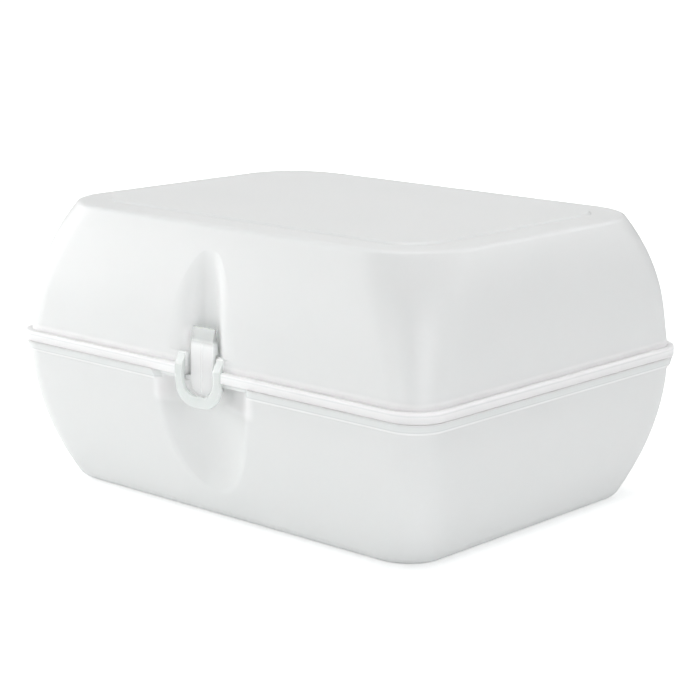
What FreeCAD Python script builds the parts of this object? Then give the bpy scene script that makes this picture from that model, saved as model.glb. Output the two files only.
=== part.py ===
import FreeCAD, Part
import math
import os
from collections import namedtuple

# Hinged burger box: two thin injection mouldings that meet at a rim flange, with a hooked clasp at the
# front (-Y) and a pin hinge at the back (+Y). Millimetres, +Z up, origin at the middle of the underside.

# Shells
RIM_LENGTH = 162.8          # along X, over the walls where the two shells meet
RIM_WIDTH = 124.2           # along Y, over the walls where the two shells meet
BASE_HEIGHT = 44.4          # underside to the top of the base's rim
LID_HEIGHT = 43.3           # underside of the lid's rim to its top, without the raised panel
WALL = 1.4
RIM_CORNER_RADIUS = 9.0     # of the walls at the rim; the corners widen from there to the caps
WALL_SECTIONS = 12          # outlines that each shell's walls are lofted through, besides the rim's
WALL_DRAFT = 0.8            # degrees, on the straight part of the walls
LID_STRAIGHT = 14.8         # height of the lid's wall before it curves in
LID_SIDE_INSET = 6.8        # how far the short walls have come in at the top
LID_FRONT_INSET = 7.3
LID_CORNER_RADIUS = 22.2    # at the top
LID_EDGE_RADIUS = 1.8
BASE_STRAIGHT = 4.8
BASE_SIDE_INSET = 9.4
BASE_FRONT_INSET = 9.8
BASE_CORNER_RADIUS = 14.2   # at the underside
BASE_EDGE_RADIUS = 5.7
INNER_EDGE_RADIUS = 0.5     # smallest radius left inside a rounded edge

# Raised panel on top of the lid
PANEL_MARGIN = 9.8
PANEL_RISE = 0.6
PANEL_BEVEL = 0.8

# Rim flanges, locating lip and the seam between the shells
SEAM_GAP = 0.15
LID_FLANGE_OUT = 1.6
LID_FLANGE_HEIGHT = 3.1
LID_FLANGE_TOP_ROUND = 0.7
LID_FLANGE_FOOT_ROUND = 0.3
BASE_FLANGE_OUT = 1.35
BASE_FLANGE_HEIGHT = 3.0
BASE_FLANGE_TAPER = 0.75    # how much less it stands out at its foot
LIP_THICKNESS = 1.0
LIP_HEIGHT = 2.2
LIP_CLEARANCE = 0.3
LIP_END_CLEARANCE = 1.5     # between the lip's ends and the sill that closes the front recess

# Finger recess in the lid, above the catch sill
SILL_HEIGHT = 3.5           # above the lid's flange
LID_RECESS_DEPTH = 4.35     # at the sill; it fades out towards the top
LID_RECESS_LENGTH = 31.0    # from the sill to where it has faded out
LID_RECESS_HALF_WIDTH = 5.8     # to where it is half as deep, at the sill
LID_RECESS_TOP_HALF_WIDTH = 3.2
LID_RECESS_REACH = 18.0     # of its soft sides, from the middle
LID_RECESS_SKIM = 0.15      # how far its soft sides end in front of the wall
LID_RECESS_SECTIONS = 12    # outlines that it is lofted through
LID_RECESS_POINTS = 16      # along each half of an outline

# Finger recess in the base, below the rim
BASE_RECESS_HALF_WIDTH = 18.2
BASE_RECESS_DEPTH = 6.5
BASE_RECESS_TAPER = 1.2     # degrees
BASE_RECESS_ROUND = 4.0
SHELF_THICKNESS = 1.8       # of the lid's plate that closes the top of the base's recess
SHELF_OVERLAP = 1.2         # of that plate over the recess wall

# Pull loop, moulded on the lid
LOOP_HALF_WIDTH = 9.0
LOOP_DROP = 8.7             # below the lid's flange
LOOP_PROUD = 0.25           # in front of the lid's flange
LOOP_THICKNESS = 1.35
LOOP_OUTER_RADIUS = 7.0
WINDOW_HALF_WIDTH = 6.45
WINDOW_DROP = 5.4
WINDOW_RADIUS = 4.8

# Hooked tongue, moulded on the base, that stands in the window
TONGUE_HALF_WIDTH = 4.4
TONGUE_THICKNESS = 1.3
TONGUE_LOOP_GAP = 0.35      # between the loop's back and the tongue's front
TONGUE_FOOT_GAP = 0.3       # between the window's lower edge and the tongue's foot
TONGUE_FOOT_RADIUS = 3.6
TONGUE_FACE_HEIGHT = 7.4    # of the front face, above the lid's flange
TONGUE_TIP_HEIGHT = 11.4
TONGUE_TIP_THICKNESS = 0.5
TONGUE_LEAN = 1.7           # degrees back from upright
BRACKET_THICKNESS = 1.4
HOOK_REACH = 1.1            # of the barb, behind the tongue's back
HOOK_GAP = 0.3              # between the barb and the sill it holds down
CATCH_CLEARANCE = 0.35      # between the tongue's back and the catch wall
CATCH_THICKNESS = 1.4
RIDGE_WIDTH = 0.8
RIDGE_HEIGHT = 0.25

# Hinge at the back: pins and ears on the base, clips on the lid
HINGE_SPACING = 76.0        # between the middles of the two hinges
PIN_RADIUS = 1.6
PIN_CLEARANCE = 0.06        # radial, in the clip
CLIP_WALL = 1.6
CLIP_LENGTH = 12.0
CLIP_MOUTH_ANGLE = 100.0    # degrees left open, to snap over the pin
CLIP_FLANGE_GAP = 0.5       # between the clip's ring and the base's flange
EAR_THICKNESS = 2.6
EAR_RADIUS = 2.8
EAR_GAP = 0.3               # between an ear and the clip beside it
EAR_FOOT = 7.0              # height of the ear's foot on the base's wall
EAR_TOP_GAP = 0.3           # between the ear's shoulder and the lid's flange

OVERRUN = 2.0               # how far cutting shapes run past the face they cut
FAR = 400.0                 # longer than the whole box

V = FreeCAD.Vector
UP = V(0, 0, 1)

SEAM_Z = BASE_HEIGHT
LID_Z = BASE_HEIGHT + SEAM_GAP
FLANGE_TOP_Z = LID_Z + LID_FLANGE_HEIGHT
SILL_Z = FLANGE_TOP_Z + SILL_HEIGHT
HALF_LENGTH = RIM_LENGTH / 2
HALF_WIDTH = RIM_WIDTH / 2
FRONT_Y = -HALF_WIDTH

# The shell's rim height, the way it grows from the rim, and its own sizes
Shell = namedtuple("Shell", "rim_z way height straight side_inset front_inset corner_radius edge_radius")
LID = Shell(
    LID_Z, 1, LID_HEIGHT, LID_STRAIGHT, LID_SIDE_INSET, LID_FRONT_INSET,
    LID_CORNER_RADIUS, LID_EDGE_RADIUS
)
BASE = Shell(
    SEAM_Z, -1, BASE_HEIGHT, BASE_STRAIGHT, BASE_SIDE_INSET, BASE_FRONT_INSET,
    BASE_CORNER_RADIUS, BASE_EDGE_RADIUS
)

# One wall in section, as (distance from the middle, distance from the rim): a drafted straight line
# from the rim to the bend, then an arc about the centre
Wall = namedtuple("Wall", "bend centre radius")

# A finger recess: its floor's distance from the rim along the shell, and its own sizes
Recess = namedtuple("Recess", "start half_width depth taper round")
BASE_RECESS = Recess(
    -OVERRUN, BASE_RECESS_HALF_WIDTH, BASE_RECESS_DEPTH, BASE_RECESS_TAPER, BASE_RECESS_ROUND
)


def box(low, high):
    """A box between two opposite corners."""
    size = V(*high) - V(*low)
    return Part.makeBox(size.x, size.y, size.z, V(*low))


def fused(pieces):
    """The pieces joined into one solid."""
    return pieces[0].multiFuse(pieces[1:]).Solids[0]


def rounded_outline(half_x, half_y, radius, z):
    """A closed rectangle with round corners, at height z."""
    flat_x = half_x - radius
    flat_y = half_y - radius
    edges = []
    for turn in range(4):
        sign_x = (1, -1, -1, 1)[turn]
        sign_y = (1, 1, -1, -1)[turn]
        centre = V(sign_x * flat_x, sign_y * flat_y, z)
        edges.append(Part.makeCircle(radius, centre, UP, 90 * turn, 90 * turn + 90))
    sides = []
    for turn in range(4):
        end = edges[turn].Vertexes[-1].Point
        start = edges[(turn + 1) % 4].Vertexes[0].Point
        sides.append(Part.makeLine(end, start))
    return Part.Wire(Part.__sortEdges__(edges + sides))


def rounded_plate(half_x, half_y, radius, low_z, high_z):
    """A flat plate with round corners."""
    face = Part.Face(rounded_outline(half_x, half_y, radius, low_z))
    return face.extrude(UP * (high_z - low_z))


def wall_section(half_span, inset, shell, offset):
    """The section of one wall, `offset` inside its outer surface."""
    draft = math.radians(WALL_DRAFT)
    inward = V(-math.cos(draft), -math.sin(draft), 0)
    bend = V(half_span - shell.straight * math.tan(draft), shell.straight, 0)
    end = V(half_span - inset, shell.height, 0)
    chord = end - bend
    radius = chord.dot(chord) / (2 * chord.dot(inward))
    return Wall(bend + inward * offset, bend + inward * radius, radius - offset)


def wall_reach(wall, height):
    """A wall's distance from the middle, at a height measured from the rim."""
    if height <= wall.bend.y:
        return wall.bend.x + (wall.bend.y - height) * math.tan(math.radians(WALL_DRAFT))
    return wall.centre.x + math.sqrt(wall.radius**2 - (height - wall.centre.y) ** 2)


def corner_radius(shell, height, offset):
    """The plan radius of a shell's corners, which grows evenly from the rim to the cap."""
    growth = (shell.corner_radius - RIM_CORNER_RADIUS) / shell.height
    return RIM_CORNER_RADIUS + growth * height - offset


def barrel(shell, offset, overrun):
    """The shell's filled shape, `offset` inside its outer surface, from `overrun` before the rim."""
    sides = wall_section(HALF_LENGTH, shell.side_inset, shell, offset)
    fronts = wall_section(HALF_WIDTH, shell.front_inset, shell, offset)
    cap = shell.height - offset
    outlines = []
    for step in range(WALL_SECTIONS + 1):
        height = cap - (cap + overrun) * step / WALL_SECTIONS
        half_x = wall_reach(sides, height)
        half_y = wall_reach(fronts, height)
        radius = corner_radius(shell, height, offset)
        outlines.append(rounded_outline(half_x, half_y, radius, shell.rim_z + shell.way * height))
    body = Part.makeLoft(outlines[:: -shell.way], True, False)
    cap_z = shell.rim_z + shell.way * cap
    rim = [e for e in body.Edges if e.BoundBox.ZLength < 0.001 and abs(e.BoundBox.ZMin - cap_z) < 0.001]
    return body.makeFillet(max(shell.edge_radius - offset, INNER_EDGE_RADIUS), rim)


def recess_radius(recess):
    """Radius of the round recess that is as wide and as deep as asked, where it meets its floor."""
    return (recess.half_width**2 + recess.depth**2) / (2 * recess.depth)


def recess_axis_y(recess):
    return FRONT_Y + recess.depth - recess_radius(recess)


def recess_cone(recess, shell, offset):
    """The tapered round cutter of a finger recess, grown by `offset`."""
    length = shell.height
    wide = recess_radius(recess) + offset
    narrow = wide - length * math.tan(math.radians(recess.taper))
    floor = shell.rim_z + shell.way * (recess.start - offset)
    return Part.makeCone(wide, narrow, length, V(0, recess_axis_y(recess), floor), V(0, 0, shell.way))


def recessed(body, recess, shell, offset):
    """The body with a finger recess in its front wall, its long edges well rounded."""
    cut = body.cut(recess_cone(recess, shell, offset)).Solids[0]
    reach = recess.half_width + recess.depth
    near = [e for e in cut.Edges if e.BoundBox.YMax < FRONT_Y + 2 * recess.depth]
    long_edges = [e for e in near if e.BoundBox.ZLength > 0.5 and abs(e.CenterOfMass.x) < reach]
    return cut.makeFillet(recess.round - offset, long_edges)


def base_body(offset, overrun):
    return recessed(barrel(BASE, offset, overrun), BASE_RECESS, BASE, offset)


def lid_recess_point(x, z, offset):
    """A point of the lid's hollow, `offset` inside its outer surface. Its depth at a distance from the
    middle is its full depth divided by 1 plus the fourth power of that distance in half widths."""
    share = min(max((z - SILL_Z) / LID_RECESS_LENGTH, 0), 1)
    depth = LID_RECESS_DEPTH * (1 - share**3) ** 1.5
    narrowing = LID_RECESS_HALF_WIDTH - LID_RECESS_TOP_HALF_WIDTH
    half_width = LID_RECESS_HALF_WIDTH - narrowing * share**2
    fall = 1 + (x / half_width) ** 4
    slope = -4 * depth * (x / half_width) ** 3 / (half_width * fall**2)
    outside = wall_reach(wall_section(HALF_WIDTH, LID_FRONT_INSET, LID, 0), z - LID_Z)
    inside = wall_reach(wall_section(HALF_WIDTH, LID_FRONT_INSET, LID, offset), z - LID_Z)
    inward = V(-slope, 1, 0).normalize() * (outside - inside)
    return V(x, depth / fall - LID_RECESS_SKIM - outside, z) + inward


def lid_recess_outline(z, offset):
    """The closed outline of the lid's hollow at height z, open to well in front of the wall."""
    step = LID_RECESS_REACH / LID_RECESS_POINTS
    points = [
        lid_recess_point(number * step, z, offset)
        for number in range(-LID_RECESS_POINTS, LID_RECESS_POINTS + 1)
    ]
    hollow = Part.BSplineCurve()
    hollow.interpolate(points)
    front_y = FRONT_Y - LID_RECESS_REACH
    left = V(points[0].x, front_y, z)
    right = V(points[-1].x, front_y, z)
    front = [
        Part.makeLine(points[-1], right),
        Part.makeLine(right, left),
        Part.makeLine(left, points[0]),
    ]
    return Part.Wire([hollow.toShape()] + front)


def lid_recess(offset):
    """The cutter of the lid's finger recess, grown by `offset`."""
    low_z = SILL_Z - offset
    high_z = SILL_Z + LID_RECESS_LENGTH
    outlines = []
    for step in range(LID_RECESS_SECTIONS + 1):
        z = low_z + (high_z - low_z) * step / LID_RECESS_SECTIONS
        outlines.append(lid_recess_outline(z, offset))
    return Part.makeLoft(outlines, True, False)


def lid_body(offset, overrun):
    return barrel(LID, offset, overrun).cut(lid_recess(offset)).Solids[0]


def raised_panel(offset):
    """The bevelled panel on top of the lid, `offset` inside its outer surface."""
    half_x = HALF_LENGTH - LID_SIDE_INSET - PANEL_MARGIN - offset
    half_y = HALF_WIDTH - LID_FRONT_INSET - PANEL_MARGIN - offset
    radius = LID_CORNER_RADIUS - PANEL_MARGIN - offset
    top_z = LID_Z + LID_HEIGHT - offset
    low = rounded_outline(half_x, half_y, radius, top_z - WALL / 2)
    foot = rounded_outline(half_x, half_y, radius, top_z)
    crown = rounded_outline(
        half_x - PANEL_BEVEL, half_y - PANEL_BEVEL, radius - PANEL_BEVEL, top_z + PANEL_RISE
    )
    return Part.makeLoft([low, foot, crown], True, True)


def lid_flange():
    """The band round the lid's rim, rounded at its top and foot."""
    plate = rounded_plate(
        HALF_LENGTH + LID_FLANGE_OUT,
        HALF_WIDTH + LID_FLANGE_OUT,
        RIM_CORNER_RADIUS + LID_FLANGE_OUT,
        LID_Z,
        FLANGE_TOP_Z,
    )
    top = [e for e in plate.Edges if e.BoundBox.ZMin > FLANGE_TOP_Z - 0.01]
    plate = plate.makeFillet(LID_FLANGE_TOP_ROUND, top)
    foot = [e for e in plate.Edges if e.BoundBox.ZMax < LID_Z + 0.01]
    return plate.makeFillet(LID_FLANGE_FOOT_ROUND, foot)


def base_flange():
    """The band round the base's rim, narrower at its foot and open across the finger recess."""
    out = BASE_FLANGE_OUT
    top = rounded_outline(HALF_LENGTH + out, HALF_WIDTH + out, RIM_CORNER_RADIUS + out, SEAM_Z)
    out = BASE_FLANGE_OUT - BASE_FLANGE_TAPER
    foot_z = SEAM_Z - BASE_FLANGE_HEIGHT
    foot = rounded_outline(HALF_LENGTH + out, HALF_WIDTH + out, RIM_CORNER_RADIUS + out, foot_z)
    band = Part.makeLoft([foot, top], True, True)
    return band.cut(recess_cone(BASE_RECESS, BASE, 0))


def shelf_radius():
    """Outer radius of the plate that closes the top of the base's recess."""
    return recess_radius(BASE_RECESS) + WALL + SHELF_OVERLAP


def shelf_half_width():
    """Half the width of the closing plate at the inside of the front wall."""
    rise = FRONT_Y + WALL - recess_axis_y(BASE_RECESS)
    return math.sqrt(shelf_radius() ** 2 - rise**2)


def filled_lip():
    """The locating lip before its inside is cut, open where the lid's closing plate comes down."""
    inset = WALL - LIP_THICKNESS
    low_z = SEAM_Z - WALL
    high_z = SEAM_Z + LIP_HEIGHT
    plate = rounded_plate(HALF_LENGTH - inset, HALF_WIDTH - inset, RIM_CORNER_RADIUS - inset, low_z, high_z)
    half_gap = shelf_half_width() + LIP_END_CLEARANCE
    gap = box((-half_gap, -FAR / 2, SEAM_Z), (half_gap, 0, high_z + OVERRUN))
    return plate.cut(gap)


def lip_rebate():
    """Cutter that gives the lid's rim room for the base's locating lip."""
    inset = WALL - LIP_THICKNESS - LIP_CLEARANCE
    low_z = LID_Z - OVERRUN
    high_z = SEAM_Z + LIP_HEIGHT + LIP_CLEARANCE
    rebate = rounded_plate(HALF_LENGTH - inset, HALF_WIDTH - inset, RIM_CORNER_RADIUS - inset, low_z, high_z)
    half_gap = shelf_half_width() + LIP_END_CLEARANCE - LIP_CLEARANCE
    front = box((-half_gap, -FAR / 2, low_z - OVERRUN), (half_gap, 0, high_z + OVERRUN))
    return rebate.cut(front)


def tongue_front_y():
    return FRONT_Y - LID_FLANGE_OUT - LOOP_PROUD + LOOP_THICKNESS + TONGUE_LOOP_GAP


def lean_shift(z):
    """How far back the tongue's leaning face is at height z."""
    return (z - tongue_foot_z()) * math.tan(math.radians(TONGUE_LEAN))


def tongue_foot_z():
    return LID_Z - WINDOW_DROP + TONGUE_FOOT_GAP


def catch_front_y():
    """The catch wall's front, clear of the leaning tongue's back at the sill's height."""
    return tongue_front_y() + lean_shift(SILL_Z) + TONGUE_THICKNESS + CATCH_CLEARANCE


def front_view_tab(half_width, foot_z, radius, top_z, low_y, high_y):
    """An upright plate with a round-cornered foot, seen from the front."""
    plate = box((-half_width, low_y, foot_z), (half_width, high_y, top_z))
    corners = [e for e in plate.Edges if e.BoundBox.YLength > 0.001 and e.BoundBox.ZMax < foot_z + 0.001]
    return plate.makeFillet(radius, corners)


def closing_shelf():
    """The lid's plate over the top of the base's recess, as far as the lid's own front wall."""
    disc = Part.makeCylinder(
        shelf_radius(), SHELF_THICKNESS, V(0, recess_axis_y(BASE_RECESS), LID_Z), UP
    )
    half_width = shelf_half_width()
    inside = box((-half_width, FRONT_Y, LID_Z - OVERRUN), (half_width, 0, FLANGE_TOP_Z))
    return disc.common(inside)


def catch_block():
    """The solid round the tongue's window: the catch wall behind it and a cheek at each side."""
    half_width = WINDOW_HALF_WIDTH + CATCH_THICKNESS
    return box((-half_width, FRONT_Y, LID_Z), (half_width, catch_front_y() + CATCH_THICKNESS, SILL_Z))


def pull_loop():
    """The U-shaped frame that hangs from the lid's flange and leans back to the sill above it."""
    front_y = FRONT_Y - LID_FLANGE_OUT - LOOP_PROUD
    back_y = front_y + LOOP_THICKNESS
    foot_z = LID_Z - LOOP_DROP
    outline = front_view_tab(
        LOOP_HALF_WIDTH, foot_z, LOOP_OUTER_RADIUS, SILL_Z, front_y - OVERRUN, FRONT_Y + WALL
    )
    section = [
        V(-FAR / 2, front_y, foot_z - OVERRUN),
        V(-FAR / 2, front_y, FLANGE_TOP_Z),
        V(-FAR / 2, FRONT_Y, SILL_Z),
        V(-FAR / 2, FRONT_Y + WALL, SILL_Z),
        V(-FAR / 2, FRONT_Y + WALL, LID_Z),
        V(-FAR / 2, back_y, LID_Z),
        V(-FAR / 2, back_y, foot_z - OVERRUN),
    ]
    profile = Part.Face(Part.makePolygon(section + section[:1])).extrude(V(FAR, 0, 0))
    loop = outline.common(profile).Solids[0]
    outer = [e for e in loop.Edges if e.BoundBox.YMax < front_y + 0.001 and e.BoundBox.ZMin < FLANGE_TOP_Z]
    return loop.makeFillet(LID_FLANGE_FOOT_ROUND, outer)


def window_cutter():
    """The tongue's way through the lid: open at the front and the top, closed below by the loop."""
    return front_view_tab(
        WINDOW_HALF_WIDTH, LID_Z - WINDOW_DROP, WINDOW_RADIUS, SILL_Z + OVERRUN, -FAR / 2, catch_front_y()
    )


def hooked_tongue():
    """The springy tongue: a leaning strip with a thin tip and a barb that reaches back over the sill."""
    front = tongue_front_y()
    foot_z = tongue_foot_z()
    face_z = FLANGE_TOP_Z + TONGUE_FACE_HEIGHT
    tip_z = FLANGE_TOP_Z + TONGUE_TIP_HEIGHT
    barb_z = SILL_Z + HOOK_GAP
    neck_y = front + lean_shift(barb_z) + TONGUE_THICKNESS
    tip_back_y = neck_y + lean_shift(tip_z) - lean_shift(barb_z)
    section = [
        V(-TONGUE_HALF_WIDTH, front, foot_z),
        V(-TONGUE_HALF_WIDTH, front + TONGUE_THICKNESS, foot_z),
        V(-TONGUE_HALF_WIDTH, neck_y, barb_z),
        V(-TONGUE_HALF_WIDTH, neck_y + HOOK_REACH, barb_z),
        V(-TONGUE_HALF_WIDTH, tip_back_y, tip_z),
        V(-TONGUE_HALF_WIDTH, tip_back_y - TONGUE_TIP_THICKNESS, tip_z),
        V(-TONGUE_HALF_WIDTH, front + lean_shift(face_z), face_z),
    ]
    strip = Part.Face(Part.makePolygon(section + section[:1])).extrude(V(2 * TONGUE_HALF_WIDTH, 0, 0))
    outline = front_view_tab(
        TONGUE_HALF_WIDTH, foot_z, TONGUE_FOOT_RADIUS, tip_z, front - OVERRUN, neck_y + 2 * HOOK_REACH
    )
    return strip.common(outline)


def tongue_ridge():
    """The fine ridge down the middle of the tongue's front face."""
    foot_z = tongue_foot_z() + RIDGE_WIDTH
    face_z = FLANGE_TOP_Z + TONGUE_FACE_HEIGHT - RIDGE_WIDTH
    back = TONGUE_THICKNESS / 2
    foot_y = tongue_front_y() + lean_shift(foot_z)
    face_y = tongue_front_y() + lean_shift(face_z)
    half = RIDGE_WIDTH / 2
    feet = [(-half, 0, 0), (0, -RIDGE_HEIGHT, 0), (half, 0, 0), (0, back, 0)]
    low = Part.makePolygon([V(*p) + V(0, foot_y, foot_z) for p in feet + feet[:1]])
    high = Part.makePolygon([V(*p) + V(0, face_y, face_z) for p in feet + feet[:1]])
    return Part.makeLoft([low, high], True, True)


def tongue_bracket():
    """The foot of the tongue, running back to the wall of the base's recess."""
    foot_z = tongue_foot_z()
    wall_y = FRONT_Y + BASE_RECESS_DEPTH + WALL / 2
    half_width = TONGUE_HALF_WIDTH - TONGUE_FOOT_RADIUS / 2
    return box(
        (-half_width, tongue_front_y() + TONGUE_THICKNESS / 2, foot_z),
        (half_width, wall_y, foot_z + BRACKET_THICKNESS),
    )


def hinge_axis_y():
    return HALF_WIDTH + LID_FLANGE_OUT + CLIP_FLANGE_GAP + clip_radius()


def clip_radius():
    return PIN_RADIUS + PIN_CLEARANCE + CLIP_WALL


def hinge_middles():
    return (-HINGE_SPACING / 2, HINGE_SPACING / 2)


def hinge_clip(middle_x):
    """One clip on the lid: an open ring round the pin and the arm that carries it."""
    low_x = middle_x - CLIP_LENGTH / 2
    axis_y = hinge_axis_y()
    centre = V(low_x, axis_y, SEAM_Z)
    along = V(1, 0, 0)
    arm_top = min(LID_FLANGE_HEIGHT, clip_radius())
    arm = box((low_x, HALF_WIDTH - WALL / 2, LID_Z), (low_x + CLIP_LENGTH, axis_y, SEAM_Z + arm_top))
    ring = Part.makeCylinder(clip_radius(), CLIP_LENGTH, centre, along)
    bore = Part.makeCylinder(
        PIN_RADIUS + PIN_CLEARANCE, CLIP_LENGTH + 2 * OVERRUN, centre - along * OVERRUN, along
    )
    half_mouth = math.radians(CLIP_MOUTH_ANGLE / 2)
    reach = 2 * clip_radius()
    mouth_points = [
        centre - along * OVERRUN,
        centre + V(-OVERRUN, reach * math.cos(half_mouth), reach * math.sin(half_mouth)),
        centre + V(-OVERRUN, reach * math.cos(half_mouth), -reach * math.sin(half_mouth)),
    ]
    mouth = Part.Face(Part.makePolygon(mouth_points + mouth_points[:1]))
    mouth = mouth.extrude(V(CLIP_LENGTH + 2 * OVERRUN, 0, 0))
    return arm.fuse(ring).cut(bore).cut(mouth)


def hinge_ear(low_x):
    """One ear on the base: a round head about the pin on a web that runs down the wall."""
    axis_y = hinge_axis_y()
    wall_y = HALF_WIDTH - WALL / 2
    shoulder_z = SEAM_Z - EAR_TOP_GAP
    foot_z = SEAM_Z - EAR_FOOT
    head = Part.makeCylinder(EAR_RADIUS, EAR_THICKNESS, V(low_x, axis_y, SEAM_Z), V(1, 0, 0))
    web_points = [
        V(low_x, wall_y, shoulder_z),
        V(low_x, axis_y, shoulder_z),
        V(low_x, axis_y, SEAM_Z - EAR_RADIUS),
        V(low_x, wall_y, foot_z),
    ]
    web = Part.Face(Part.makePolygon(web_points + web_points[:1])).extrude(V(EAR_THICKNESS, 0, 0))
    return head.fuse(web)


def hinge_pin(middle_x):
    """One pin with its two ears."""
    half_span = CLIP_LENGTH / 2 + EAR_GAP
    length = 2 * (half_span + EAR_THICKNESS / 2)
    start = V(middle_x - length / 2, hinge_axis_y(), SEAM_Z)
    pin = Part.makeCylinder(PIN_RADIUS, length, start, V(1, 0, 0))
    ears = [hinge_ear(middle_x - half_span - EAR_THICKNESS), hinge_ear(middle_x + half_span)]
    return [pin] + ears


def base():
    outer = base_body(0, 0)
    cavity = base_body(WALL, LIP_HEIGHT + OVERRUN)
    pieces = [outer, base_flange(), filled_lip()]
    for middle_x in hinge_middles():
        pieces += hinge_pin(middle_x)
    shell = fused(pieces).cut(cavity)
    return fused([shell, hooked_tongue(), tongue_ridge(), tongue_bracket()])


def lid():
    outer = lid_body(0, 0)
    cavity = lid_body(WALL, OVERRUN)
    pieces = [outer, raised_panel(0), lid_flange(), pull_loop()]
    for middle_x in hinge_middles():
        pieces.append(hinge_clip(middle_x))
    shell = fused(pieces).cut(cavity).cut(raised_panel(WALL)).cut(lip_rebate())
    shell = fused([shell, closing_shelf(), catch_block()])
    return shell.cut(window_cutter())


def main():
    os.makedirs("parts", exist_ok=True)
    for name, shape in (("base", base()), ("lid", lid())):
        if len(shape.Solids) != 1 or not shape.isValid():
            raise ValueError(name + " is not one valid solid")
        shape.Solids[0].exportStep("parts/" + name + ".step")
        size = shape.BoundBox
        print(name, "volume", round(shape.Volume), "mm3, box", size)
    print("hinge axis", hinge_axis_y(), SEAM_Z)


main()
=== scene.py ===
"""Looks of a clamshell burger box moulded in frosted polypropylene.

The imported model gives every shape. This script dresses its two mouldings, stands them in a plain pale
studio and sets the camera. Lengths are in metres unless a name says millimetres.
"""

from __future__ import annotations

import logging
import math
from dataclasses import dataclass
from enum import Enum

import bpy
import numpy as np
from mathutils import Matrix, Vector


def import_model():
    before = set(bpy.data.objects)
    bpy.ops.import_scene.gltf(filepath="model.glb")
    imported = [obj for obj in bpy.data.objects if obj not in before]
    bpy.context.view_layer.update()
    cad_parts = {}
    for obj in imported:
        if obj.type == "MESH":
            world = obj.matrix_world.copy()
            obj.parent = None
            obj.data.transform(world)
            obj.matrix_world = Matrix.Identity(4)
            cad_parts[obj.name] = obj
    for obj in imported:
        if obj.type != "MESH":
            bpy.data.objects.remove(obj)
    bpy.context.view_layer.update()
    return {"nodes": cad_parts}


LOG = logging.getLogger("burger_box")
MM = 0.001
MIDDLE = (0.0, 0.0, 0.045)
WHITE = (1.0, 1.0, 1.0, 1.0)
OUT_OF_REACH = 1.0  # metres, farther than any point of the box


class Half(Enum):
    """The two halves of the box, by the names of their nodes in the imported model."""

    BASE = "base"
    LID = "lid"


# ---------------------------------------------------------------------------------------------------------------
# Colours, nodes and meshes
# ---------------------------------------------------------------------------------------------------------------


def linear(hex_colour: str) -> tuple[float, float, float, float]:
    """Turn an sRGB hex colour into linear light.

    Args:
        hex_colour: six hex digits, with or without a leading #.

    Returns:
        Red, green, blue and an alpha of 1.
    """
    digits = hex_colour.lstrip("#")
    steps = np.array([int(digits[i : i + 2], 16) for i in (0, 2, 4)]) / 255
    light = np.where(steps <= 0.04045, steps / 12.92, ((steps + 0.055) / 1.055) ** 2.4)
    return (*map(float, light), 1.0)


def add_node(tree: bpy.types.NodeTree, kind: str, settings: dict | None = None, **inputs: object) -> bpy.types.Node:
    """Add one node, with its settings and what feeds its inputs.

    Args:
        tree: the tree that the node goes into.
        kind: Blender's name for the node.
        settings: properties of the node itself.
        inputs: a value or an output socket for each input, named as on the node with _ for a space, or as
            input_0, input_1 and so on where a node's inputs share a name.

    Returns:
        The node.
    """
    node = tree.nodes.new(kind)
    for name, value in (settings or {}).items():
        setattr(node, name, value)
    for name, value in inputs.items():
        key = int(name[6:]) if name.startswith("input_") else name.replace("_", " ")
        socket = node.inputs[key]
        if isinstance(value, bpy.types.NodeSocket):
            tree.links.new(value, socket)
        else:
            socket.default_value = value
    return node


def new_material(name: str) -> tuple[bpy.types.Material, bpy.types.NodeTree]:
    """Make a material with an empty node tree.

    Args:
        name: the material's name.

    Returns:
        The material and its tree.
    """
    material = bpy.data.materials.new(name)
    material.use_nodes = True
    material.node_tree.nodes.clear()
    return material, material.node_tree


def surface_object(name: str, points: np.ndarray, faces: np.ndarray) -> bpy.types.Object:
    """Put a worked-out surface into a mesh object at the origin.

    Args:
        name: the object's name.
        points: one row of three coordinates for each vertex.
        faces: one row of vertex numbers for each face.

    Returns:
        The object, linked to the scene.
    """
    mesh = bpy.data.meshes.new(name)
    mesh.from_pydata(points.tolist(), [], faces.tolist())
    mesh.update()
    made = bpy.data.objects.new(name, mesh)
    bpy.context.scene.collection.objects.link(made)
    return made


# ---------------------------------------------------------------------------------------------------------------
# Finishes
# ---------------------------------------------------------------------------------------------------------------


@dataclass(frozen=True)
class Zone:
    """A block of the box, along its own axes, that is finished apart from the walls round it.

    The share of the zone at a point is the product of three soft steps, one for each axis: each is 1 inside the
    half width, 0 outside it, and turns over a short fade.
    """

    centre: tuple[float, float, float]
    half: tuple[float, float, float]
    fade: float = 0.3 * MM

    def share(self, tree: bpy.types.NodeTree, place: bpy.types.NodeSocket) -> bpy.types.NodeSocket:
        """Work out how far a point lies in the zone.

        Args:
            tree: the material's tree.
            place: the point, in Object coordinates.

        Returns:
            A socket that is 1 in the zone and 0 outside it.
        """
        away = add_node(
            tree, "ShaderNodeVectorMath", {"operation": "SUBTRACT"}, input_0=place, input_1=self.centre
        )
        size = add_node(
            tree, "ShaderNodeVectorMath", {"operation": "ABSOLUTE"}, input_0=away.outputs[0]
        )
        parts = add_node(tree, "ShaderNodeSeparateXYZ", Vector=size.outputs[0])
        total: bpy.types.NodeSocket | None = None
        for axis in range(3):
            step = add_node(
                tree,
                "ShaderNodeMapRange",
                {"interpolation_type": "SMOOTHSTEP"},
                Value=parts.outputs[axis],
                From_Min=self.half[axis] + self.fade / 2,
                From_Max=self.half[axis] - self.fade / 2,
            ).outputs[0]
            if total is None:
                total = step
            else:
                total = add_node(
                    tree, "ShaderNodeMath", {"operation": "MULTIPLY"}, input_0=total, input_1=step
                ).outputs[0]
        return total


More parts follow.
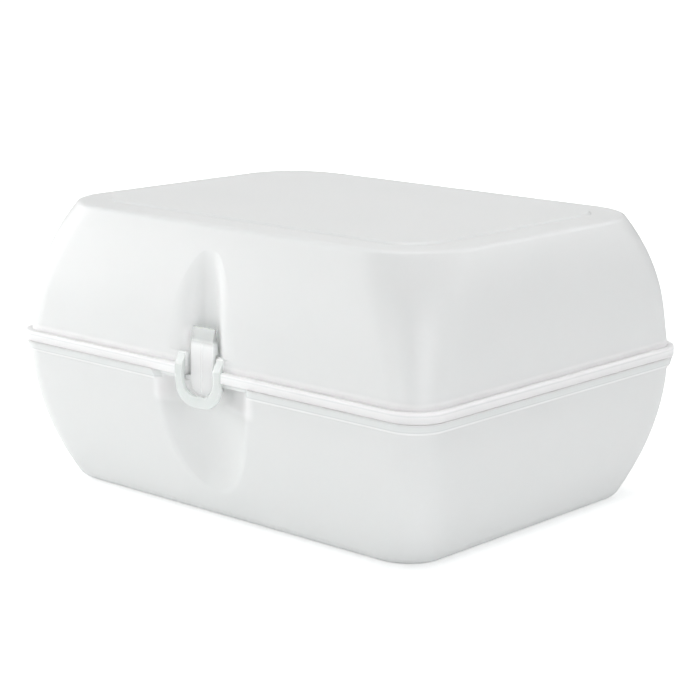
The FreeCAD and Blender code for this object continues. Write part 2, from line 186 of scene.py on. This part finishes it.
@dataclass(frozen=True)
class PaintedRimBand:
    """A level line or band round the outside of the rim, with a colour of its own.

    The bands are painted highlights and painted shade. The paler ones paint the light that the rim's moulded
    edges catch, and the greyer ones paint the shade on a band and in the joins between the flanges.
    """

    height: float
    half: float
    colour: str
    fade: float = 0.25 * MM

    def share(
        self, tree: bpy.types.NodeTree, height: bpy.types.NodeSocket, rim: bpy.types.NodeSocket
    ) -> bpy.types.NodeSocket:
        """Work out how far a point lies on the line.

        Args:
            tree: the material's tree.
            height: how high the point lies.
            rim: 1 on the outside of the rim, 0 elsewhere.

        Returns:
            A socket that is 1 on the line and 0 off it.
        """
        away = add_node(
            tree, "ShaderNodeMath", {"operation": "SUBTRACT"}, input_0=height, input_1=self.height
        )
        size = add_node(tree, "ShaderNodeMath", {"operation": "ABSOLUTE"}, input_0=away.outputs[0])
        pulse = add_node(
            tree,
            "ShaderNodeMapRange",
            {"interpolation_type": "SMOOTHSTEP"},
            Value=size.outputs[0],
            From_Min=self.half + self.fade / 2,
            From_Max=self.half - self.fade / 2,
        )
        return add_node(
            tree, "ShaderNodeMath", {"operation": "MULTIPLY"}, input_0=pulse.outputs[0], input_1=rim
        ).outputs[0]


# The outline is the mask where the painted rim highlights and shade are laid.
@dataclass(frozen=True)
class RimOutline:
    """The rounded rectangle that the box's outer walls follow at the rim."""

    half_length: float = 81.4 * MM
    half_width: float = 62.1 * MM
    corner_radius: float = 9.0 * MM
    inward: float = 0.7 * MM
    outward: float = 2.2 * MM
    fade: float = 0.3 * MM

    def outside(self, tree: bpy.types.NodeTree, place: bpy.types.NodeSocket) -> bpy.types.NodeSocket:
        """Tell the outside of the rim, with its flanges, from the inside and from the hinge.

        Args:
            tree: the material's tree.
            place: the point, in Object coordinates.

        Returns:
            A socket that is 1 between the two offsets of the outline and 0 elsewhere.
        """
        middles = (self.half_length - self.corner_radius, self.half_width - self.corner_radius, OUT_OF_REACH)
        size = add_node(tree, "ShaderNodeVectorMath", {"operation": "ABSOLUTE"}, input_0=place)
        past = add_node(
            tree,
            "ShaderNodeVectorMath",
            {"operation": "SUBTRACT"},
            input_0=size.outputs[0],
            input_1=middles,
        )
        corner = add_node(
            tree,
            "ShaderNodeVectorMath",
            {"operation": "MAXIMUM"},
            input_0=past.outputs[0],
            input_1=(0.0, 0.0, 0.0),
        )
        reach = add_node(
            tree, "ShaderNodeVectorMath", {"operation": "LENGTH"}, input_0=corner.outputs[0]
        )
        steps = [
            add_node(
                tree,
                "ShaderNodeMapRange",
                {"interpolation_type": "SMOOTHSTEP"},
                Value=reach.outputs["Value"],
                From_Min=edge - way * self.fade / 2,
                From_Max=edge + way * self.fade / 2,
            ).outputs[0]
            for edge, way in (
                (self.corner_radius - self.inward, 1),
                (self.corner_radius + self.outward, -1),
            )
        ]
        return add_node(
            tree, "ShaderNodeMath", {"operation": "MULTIPLY"}, input_0=steps[0], input_1=steps[1]
        ).outputs[0]


@dataclass(frozen=True)
class FrostedPolypropylene:
    """Injection-moulded frosted polypropylene, natural (undyed) and 1.4 mm thick.

    Undyed polypropylene is milky: it scatters light inside the wall, so shadows are soft and a cool grey-green
    shows where the wall is seen edge on. The mould's spark-eroded walls give the fine satin grain, and its
    polished inserts give the clasp's loop and tongue a clearer, wetter shine. The walls drift between the
    colours milk and deep. The polished zones have the colour clear. The colour pale is painted light: it lifts
    the shade in the recesses named in its zones, and the rim's bands paint highlights and shade round the rim.
    """

    name: str
    milk: str = "#ECEEED"
    deep: str = "#E8EBEA"
    clear: str = "#F4F8F6"
    # pale is painted light, laid over the shade in recesses.
    pale: str = "#FCFFFE"
    satin_roughness: float = 0.42
    polished_roughness: float = 0.12
    ior: float = 1.49
    milkiness: float = 1.0
    scatter_mm: tuple[float, float, float] = (2.4, 2.5, 2.5)
    see_through: float = 0.12
    clear_see_through: float = 0.15
    tip_see_through: float = 0.75
    grain_mm: float = 0.5
    grain_detail: float = 2.0
    grain_roughness: float = 0.6
    grain_depth_mm: float = 0.01
    polished_grain: float = 0.05
    cloud_mm: float = 28.0
    cloud_detail: float = 3.0
    cloud_roughness: float = 0.55
    warp_mm: float = 34.0
    warp_detail: float = 1.0
    warp_depth_mm: float = 0.05
    polished: tuple[Zone, ...] = ()
    thin_tips: tuple[Zone, ...] = ()
    # The zones where pale paints light over shade, and the rim bands of painted highlights and shade.
    painted_light_zones: tuple[Zone, ...] = ()
    rim: RimOutline = RimOutline()
    painted_rim_bands: tuple[PaintedRimBand, ...] = ()

    def material(self) -> bpy.types.Material:
        """Build the finish as one Principled material.

        Returns:
            The material.
        """
        material, tree = new_material(self.name)
        place = add_node(tree, "ShaderNodeTexCoord").outputs["Object"]
        polish = self._mask(tree, place, self.polished)
        clouds = add_node(
            tree,
            "ShaderNodeTexNoise",
            Vector=place,
            Scale=1 / (self.cloud_mm * MM),
            Detail=self.cloud_detail,
            Roughness=self.cloud_roughness,
        )
        milk = add_node(
            tree,
            "ShaderNodeMix",
            {"data_type": "RGBA"},
            Factor=clouds.outputs[0],
            input_6=linear(self.milk),
            input_7=linear(self.deep),
        )
        # Painted light: pale lifts the shade in the recess zones.
        light_painted = add_node(
            tree,
            "ShaderNodeMix",
            {"data_type": "RGBA"},
            Factor=self._mask(tree, place, self.painted_light_zones),
            input_6=milk.outputs[2],
            input_7=linear(self.pale),
        )
        colour = add_node(
            tree,
            "ShaderNodeMix",
            {"data_type": "RGBA"},
            Factor=polish,
            input_6=light_painted.outputs[2],
            input_7=linear(self.clear),
        )
        roughness = add_node(
            tree,
            "ShaderNodeMapRange",
            Value=polish,
            To_Min=self.satin_roughness,
            To_Max=self.polished_roughness,
        )
        clearness = add_node(
            tree,
            "ShaderNodeMapRange",
            Value=polish,
            To_Min=self.see_through,
            To_Max=self.clear_see_through,
        )
        clearest = add_node(
            tree,
            "ShaderNodeMapRange",
            Value=self._mask(tree, place, self.thin_tips),
            To_Min=clearness.outputs[0],
            To_Max=self.tip_see_through,
        )
        shader = add_node(
            tree,
            "ShaderNodeBsdfPrincipled",
            {"subsurface_method": "RANDOM_WALK"},
            # The rim bands paint highlights and shade into the base colour.
            Base_Color=self._paint_rim_bands(tree, place, polish, colour.outputs[2]),
            Roughness=roughness.outputs[0],
            IOR=self.ior,
            Subsurface_Weight=self.milkiness,
            Subsurface_Radius=self.scatter_mm,
            Subsurface_Scale=MM,
            Transmission_Weight=clearest.outputs[0],
            Normal=self._grain(tree, place, polish),
        )
        add_node(tree, "ShaderNodeOutputMaterial", Surface=shader.outputs[0])
        return material

    def _mask(
        self, tree: bpy.types.NodeTree, place: bpy.types.NodeSocket, zones: tuple[Zone, ...]
    ) -> bpy.types.NodeSocket:
        """Join zones into one mask.

        Args:
            tree: the material's tree.
            place: the point, in Object coordinates.
            zones: the zones to join.

        Returns:
            A socket that is 1 inside any of the zones and 0 outside them all.
        """
        mask = add_node(tree, "ShaderNodeValue").outputs[0]
        mask.default_value = 0.0
        for zone in zones:
            mask = add_node(
                tree,
                "ShaderNodeMath",
                {"operation": "MAXIMUM"},
                input_0=mask,
                input_1=zone.share(tree, place),
            ).outputs[0]
        return mask

    def _paint_rim_bands(
        self,
        tree: bpy.types.NodeTree,
        place: bpy.types.NodeSocket,
        polish: bpy.types.NodeSocket,
        colour: bpy.types.NodeSocket,
    ) -> bpy.types.NodeSocket:
        """Lay the rim's lines over the colour.

        Args:
            tree: the material's tree.
            place: the point, in Object coordinates.
            polish: the mask of polished zones, which the painted bands leave out.
            colour: the colour without the painted bands.

        Returns:
            The colour with the painted highlights and shade.
        """
        height = add_node(tree, "ShaderNodeSeparateXYZ", Vector=place).outputs["Z"]
        plain = add_node(
            tree, "ShaderNodeMath", {"operation": "SUBTRACT"}, input_0=1.0, input_1=polish
        )
        rim = add_node(
            tree,
            "ShaderNodeMath",
            {"operation": "MULTIPLY"},
            input_0=self.rim.outside(tree, place),
            input_1=plain.outputs[0],
        ).outputs[0]
        # Each band paints a highlight or a shade round the rim in its own colour.
        for line in self.painted_rim_bands:
            colour = add_node(
                tree,
                "ShaderNodeMix",
                {"data_type": "RGBA"},
                Factor=line.share(tree, height, rim),
                input_6=colour,
                input_7=linear(line.colour),
            ).outputs[2]
        return colour

    def _grain(
        self, tree: bpy.types.NodeTree, place: bpy.types.NodeSocket, polish: bpy.types.NodeSocket
    ) -> bpy.types.NodeSocket:
        """Lay the mould's fine grain over the wall's slow unevenness.

        Args:
            tree: the material's tree.
            place: the point, in Object coordinates.
            polish: the mask of polished zones, which have no grain.

        Returns:
            The normal.
        """
        warp = add_node(
            tree, "ShaderNodeTexNoise", Vector=place, Scale=1 / (self.warp_mm * MM), Detail=self.warp_detail
        )
        slow = add_node(
            tree,
            "ShaderNodeBump",
            Strength=1.0,
            Distance=self.warp_depth_mm * MM,
            Height=warp.outputs[0],
        )
        grain = add_node(
            tree,
            "ShaderNodeTexNoise",
            Vector=place,
            Scale=1 / (self.grain_mm * MM),
            Detail=self.grain_detail,
            Roughness=self.grain_roughness,
        )
        depth = add_node(
            tree, "ShaderNodeMapRange", Value=polish, To_Min=1.0, To_Max=self.polished_grain
        )
        fine = add_node(
            tree,
            "ShaderNodeBump",
            Strength=depth.outputs[0],
            Distance=self.grain_depth_mm * MM,
            Height=grain.outputs[0],
            Normal=slow.outputs[0],
        )
        return fine.outputs[0]


# ---------------------------------------------------------------------------------------------------------------
# The box
# ---------------------------------------------------------------------------------------------------------------


@dataclass
class Moulding:
    """One half of the box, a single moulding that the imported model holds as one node."""

    half: Half
    finish: FrostedPolypropylene

    def dress(self, nodes: dict[str, bpy.types.Object]) -> bpy.types.Object:
        """Give the moulding its finish.

        Args:
            nodes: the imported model's nodes by name.

        Returns:
            The dressed node.
        """
        piece = nodes[self.half.value]
        material = self.finish.material()
        for slot in piece.material_slots:
            slot.material = material
        return piece


@dataclass
class BurgerBox:
    """The box as its two mouldings, with the places that are finished apart from the walls.

    The clasp's loop belongs to the lid and its tongue to the base, and they lie so close that each moulding
    names only its own zones. The pocket and the scoop roof take painted light over their shade, and the rim's
    bands are painted highlights and shade; their heights are measured from the floor.
    """

    loop: Zone = Zone(centre=(0.0, -64.2 * MM, 43.6 * MM), half=(9.4 * MM, 2.0 * MM, 8.2 * MM))
    tongue: Zone = Zone(centre=(0.0, -61.9 * MM, 47.2 * MM), half=(6.6 * MM, 3.1 * MM, 12.2 * MM))
    tip: Zone = Zone(centre=(0.0, -61.0 * MM, 57.6 * MM), half=(7.0 * MM, 5.0 * MM, 2.8 * MM), fade=2.4 * MM)
    # Painted light: pale lifts the shade in the lid's pocket behind the tongue.
    pocket_painted_light: Zone = Zone(
        centre=(0.0, -60.0 * MM, 48.5 * MM), half=(7.5 * MM, 5.0 * MM, 9.5 * MM), fade=3.0 * MM
    )
    # Painted light: pale lifts the shade in the base's scoop under the flange.
    scoop_roof_painted_light: Zone = Zone(
        centre=(0.0, -58.0 * MM, 40.0 * MM), half=(20.0 * MM, 4.5 * MM, 4.5 * MM), fade=3.0 * MM
    )
    loop_colour: str = "#DEE2E0"
    # Painted shade and highlights round the base's rim: a greyer shaded band, a dark shade line under it, a pale
    # foot highlight, and a white line painting light into the seam.
    base_painted_bands: tuple[PaintedRimBand, ...] = (
        PaintedRimBand(42.9 * MM, 1.3 * MM, "#E6E9E8"),
        PaintedRimBand(42.15 * MM, 0.2 * MM, "#DDE0DF"),
        PaintedRimBand(41.7 * MM, 0.25 * MM, "#F6F8F7"),
        PaintedRimBand(44.45 * MM, 0.25 * MM, "#FFFFFF"),
    )
    # Painted highlights and shade round the lid's flange: paler bands and white edge highlights, and one greyer
    # shade line.
    lid_painted_bands: tuple[PaintedRimBand, ...] = (
        PaintedRimBand(48.6 * MM, 0.9 * MM, "#FAFCFB", 1.0 * MM),
        PaintedRimBand(46.1 * MM, 1.5 * MM, "#F8FAF9"),
        PaintedRimBand(44.65 * MM, 0.3 * MM, "#FFFFFF"),
        PaintedRimBand(46.7 * MM, 0.2 * MM, "#EEF1F0"),
        PaintedRimBand(47.75 * MM, 0.65 * MM, "#FFFFFF"),
    )

    def mouldings(self) -> tuple[Moulding, ...]:
        """Name the mouldings and their finishes.

        Returns:
            The base and the lid.
        """
        base = FrostedPolypropylene(
            "frosted_polypropylene_base",
            polished=(self.tongue,),
            thin_tips=(self.tip,),
            painted_light_zones=(self.scoop_roof_painted_light,),
            painted_rim_bands=self.base_painted_bands,
        )
        lid = FrostedPolypropylene(
            "frosted_polypropylene_lid",
            clear=self.loop_colour,
            polished=(self.loop,),
            painted_light_zones=(self.pocket_painted_light,),
            painted_rim_bands=self.lid_painted_bands,
        )
        return Moulding(Half.BASE, base), Moulding(Half.LID, lid)

    def dress(self, nodes: dict[str, bpy.types.Object]) -> None:
        """Dress each moulding and report it.

        Args:
            nodes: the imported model's nodes by name.
        """
        for moulding in self.mouldings():
            piece = moulding.dress(nodes)
            LOG.info("dressed %s with %s", piece.name, moulding.finish.name)


# ---------------------------------------------------------------------------------------------------------------
# The studio
# ---------------------------------------------------------------------------------------------------------------


@dataclass(frozen=True)
class Lamp:
    """One soft box: where it stands, what it looks at, how large and how strong it is."""

    name: str
    place: tuple[float, float, float]
    aim: tuple[float, float, float]
    width: float
    height: float
    watts: float
    colour: str = "#FFFFFF"

    def build(self) -> bpy.types.Object:
        """Hang the lamp in the scene, where it lights and mirrors but isn't itself in the picture.

        Returns:
            The lamp's object.
        """
        light = bpy.data.lights.new(self.name, "AREA")
        light.shape = "RECTANGLE"
        light.size = self.width
        light.size_y = self.height
        light.energy = self.watts
        light.color = linear(self.colour)[:3]
        lamp = bpy.data.objects.new(self.name, light)
        direction = Vector(self.aim) - Vector(self.place)
        turn = direction.to_track_quat("-Z", "Y").to_matrix().to_4x4()
        lamp.matrix_world = Matrix.Translation(self.place) @ turn
        lamp.visible_camera = False
        bpy.context.scene.collection.objects.link(lamp)
        return lamp


@dataclass
class Studio:
    """A plain pale floor, soft lamps round the box and a surround that the camera sees as white."""

    floor_half: float = 3.0
    floor_gap: float = 0.02 * MM
    floor_white: tuple[float, float] = (0.4, 1.0)
    floor_reach: tuple[float, float] = (0.25, 0.9)
    floor_glow: float = 0.071
    floor_paper: str = "#F4F5F5"
    ambient: float = 0.1
    ambient_colour: str = "#FDFEFF"
    lamps: tuple[Lamp, ...] = (
        Lamp("left_soft_box", (-1.20, -0.20, 0.25), MIDDLE, 0.7, 0.7, 4.95),
        Lamp("left_reflector", (-0.45, -0.30, 0.12), MIDDLE, 0.35, 0.35, 1.14),
        Lamp("front_left_fill", (-0.90, -0.90, 0.30), MIDDLE, 0.7, 0.7, 1.01),
        Lamp("front_soft_box", (0.10, -1.30, 0.30), MIDDLE, 0.7, 0.7, 4.11),
        Lamp("right_soft_box", (1.20, -0.50, 0.30), MIDDLE, 0.7, 0.7, 6.89, "#FEFDFF"),
        Lamp("overhead_soft_box", (0.0, 0.0, 1.30), MIDDLE, 0.9, 0.9, 9.52),
        Lamp("back_spot", (0.25, 0.85, 0.78), MIDDLE, 0.45, 0.45, 0.99),
        Lamp("back_left_rim", (-0.80, 0.90, 0.70), MIDDLE, 0.7, 0.7, 2.03),
        Lamp("back_right_rim", (0.80, 0.90, 0.70), MIDDLE, 0.7, 0.7, 3.48),
    )

    def build(self) -> None:
        """Make the floor, the surround and the lamps."""
        self._floor()
        self._surround()
        for lamp in self.lamps:
            lamp.build()

    def _floor(self) -> None:
        """Lay the floor: a light table under white paper, whose glow fades in away from the box.

        Near the box the paper shows what light falls on it, so the object keeps its shadow there.
        """
        h = self.floor_half
        z = -self.floor_gap
        floor = surface_object(
            "floor",
            np.array([[-h, -h, z], [h, -h, z], [h, h, z], [-h, h, z]]),
            np.array([[0, 1, 2, 3]]),
        )
        material, tree = new_material("white_paper_floor")
        paper = add_node(tree, "ShaderNodeBsdfDiffuse", Color=linear(self.floor_paper))
        away = add_node(
            tree,
            "ShaderNodeVectorMath",
            {"operation": "LENGTH"},
            input_0=add_node(tree, "ShaderNodeTexCoord").outputs["Object"],
        )
        white = add_node(
            tree,
            "ShaderNodeMapRange",
            {"interpolation_type": "SMOOTHSTEP"},
            Value=away.outputs["Value"],
            From_Min=self.floor_reach[0],
            From_Max=self.floor_reach[1],
            To_Min=self.floor_white[0],
            To_Max=self.floor_white[1],
        )
        strength = add_node(
            tree,
            "ShaderNodeMath",
            {"operation": "MULTIPLY"},
            input_0=self._seen(tree),
            input_1=white.outputs[0],
        )
        lit = add_node(
            tree,
            "ShaderNodeMath",
            {"operation": "MAXIMUM"},
            input_0=strength.outputs[0],
            input_1=self.floor_glow,
        )
        glow = add_node(
            tree, "ShaderNodeEmission", Color=WHITE, Strength=lit.outputs[0]
        )
        both = add_node(
            tree, "ShaderNodeAddShader", input_0=paper.outputs[0], input_1=glow.outputs[0]
        )
        add_node(tree, "ShaderNodeOutputMaterial", Surface=both.outputs[0])
        floor.data.materials.append(material)

    def _surround(self) -> None:
        """Set the world: even dim light on the object, white where the camera sees it."""
        world = bpy.data.worlds.new("surround")
        world.use_nodes = True
        tree = world.node_tree
        tree.nodes.clear()
        even = add_node(
            tree, "ShaderNodeBackground", Color=linear(self.ambient_colour), Strength=self.ambient
        )
        white = add_node(tree, "ShaderNodeBackground", Color=WHITE, Strength=1.0)
        mix = add_node(
            tree,
            "ShaderNodeMixShader",
            input_0=self._seen(tree),
            input_1=even.outputs[0],
            input_2=white.outputs[0],
        )
        add_node(tree, "ShaderNodeOutputWorld", Surface=mix.outputs[0])
        bpy.context.scene.world = world

    def _seen(self, tree: bpy.types.NodeTree) -> bpy.types.NodeSocket:
        """Tell rays that show a thing from rays that light it.

        Args:
            tree: the tree that asks.

        Returns:
            A socket that is 1 for rays from the camera, straight or through clear plastic.
        """
        path = add_node(tree, "ShaderNodeLightPath")
        return add_node(
            tree,
            "ShaderNodeMath",
            {"operation": "MAXIMUM"},
            input_0=path.outputs["Is Camera Ray"],
            input_1=path.outputs["Is Transmission Ray"],
        ).outputs[0]


@dataclass
class Viewpoint:
    """The camera, by where it stands, which way it faces and its lens."""

    place: tuple[float, float, float] = (0.41169, -0.46089, 0.17993)
    yaw: float = 41.65
    pitch: float = -12.51
    roll: float = 0.47
    lens: float = 105.23
    sensor: float = 36.0
    nearest: float = 0.01
    farthest: float = 50.0

    def build(self) -> bpy.types.Object:
        """Stand the camera in the scene and make it the scene's own.

        Yaw turns from +Y towards -X, pitch is above the level, and roll turns the picture round its middle.

        Returns:
            The camera's object.
        """
        yaw, pitch, roll = (math.radians(a) for a in (self.yaw, self.pitch, self.roll))
        forward = Vector(
            (-math.sin(yaw) * math.cos(pitch), math.cos(yaw) * math.cos(pitch), math.sin(pitch))
        )
        level = Vector((math.cos(yaw), math.sin(yaw), 0.0))
        upward = level.cross(forward)
        right = level * math.cos(roll) + upward * math.sin(roll)
        up = upward * math.cos(roll) - level * math.sin(roll)
        turn = Matrix((right, up, -forward)).transposed().to_4x4()
        lens = bpy.data.cameras.new("camera")
        lens.lens = self.lens
        lens.sensor_width = self.sensor
        lens.clip_start = self.nearest
        lens.clip_end = self.farthest
        camera = bpy.data.objects.new("camera", lens)
        camera.matrix_world = Matrix.Translation(self.place) @ turn
        bpy.context.scene.collection.objects.link(camera)
        bpy.context.scene.camera = camera
        return camera


# ---------------------------------------------------------------------------------------------------------------
# Putting it together
# ---------------------------------------------------------------------------------------------------------------


def main() -> None:
    """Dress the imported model, light it and look at it."""
    logging.basicConfig(level=logging.INFO, format="%(name)s: %(message)s")
    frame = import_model()

    BurgerBox().dress(frame["nodes"])
    Studio().build()
    Viewpoint().build()
    bpy.context.scene.view_settings.view_transform = "Standard"


if __name__ == "__main__":
    main()
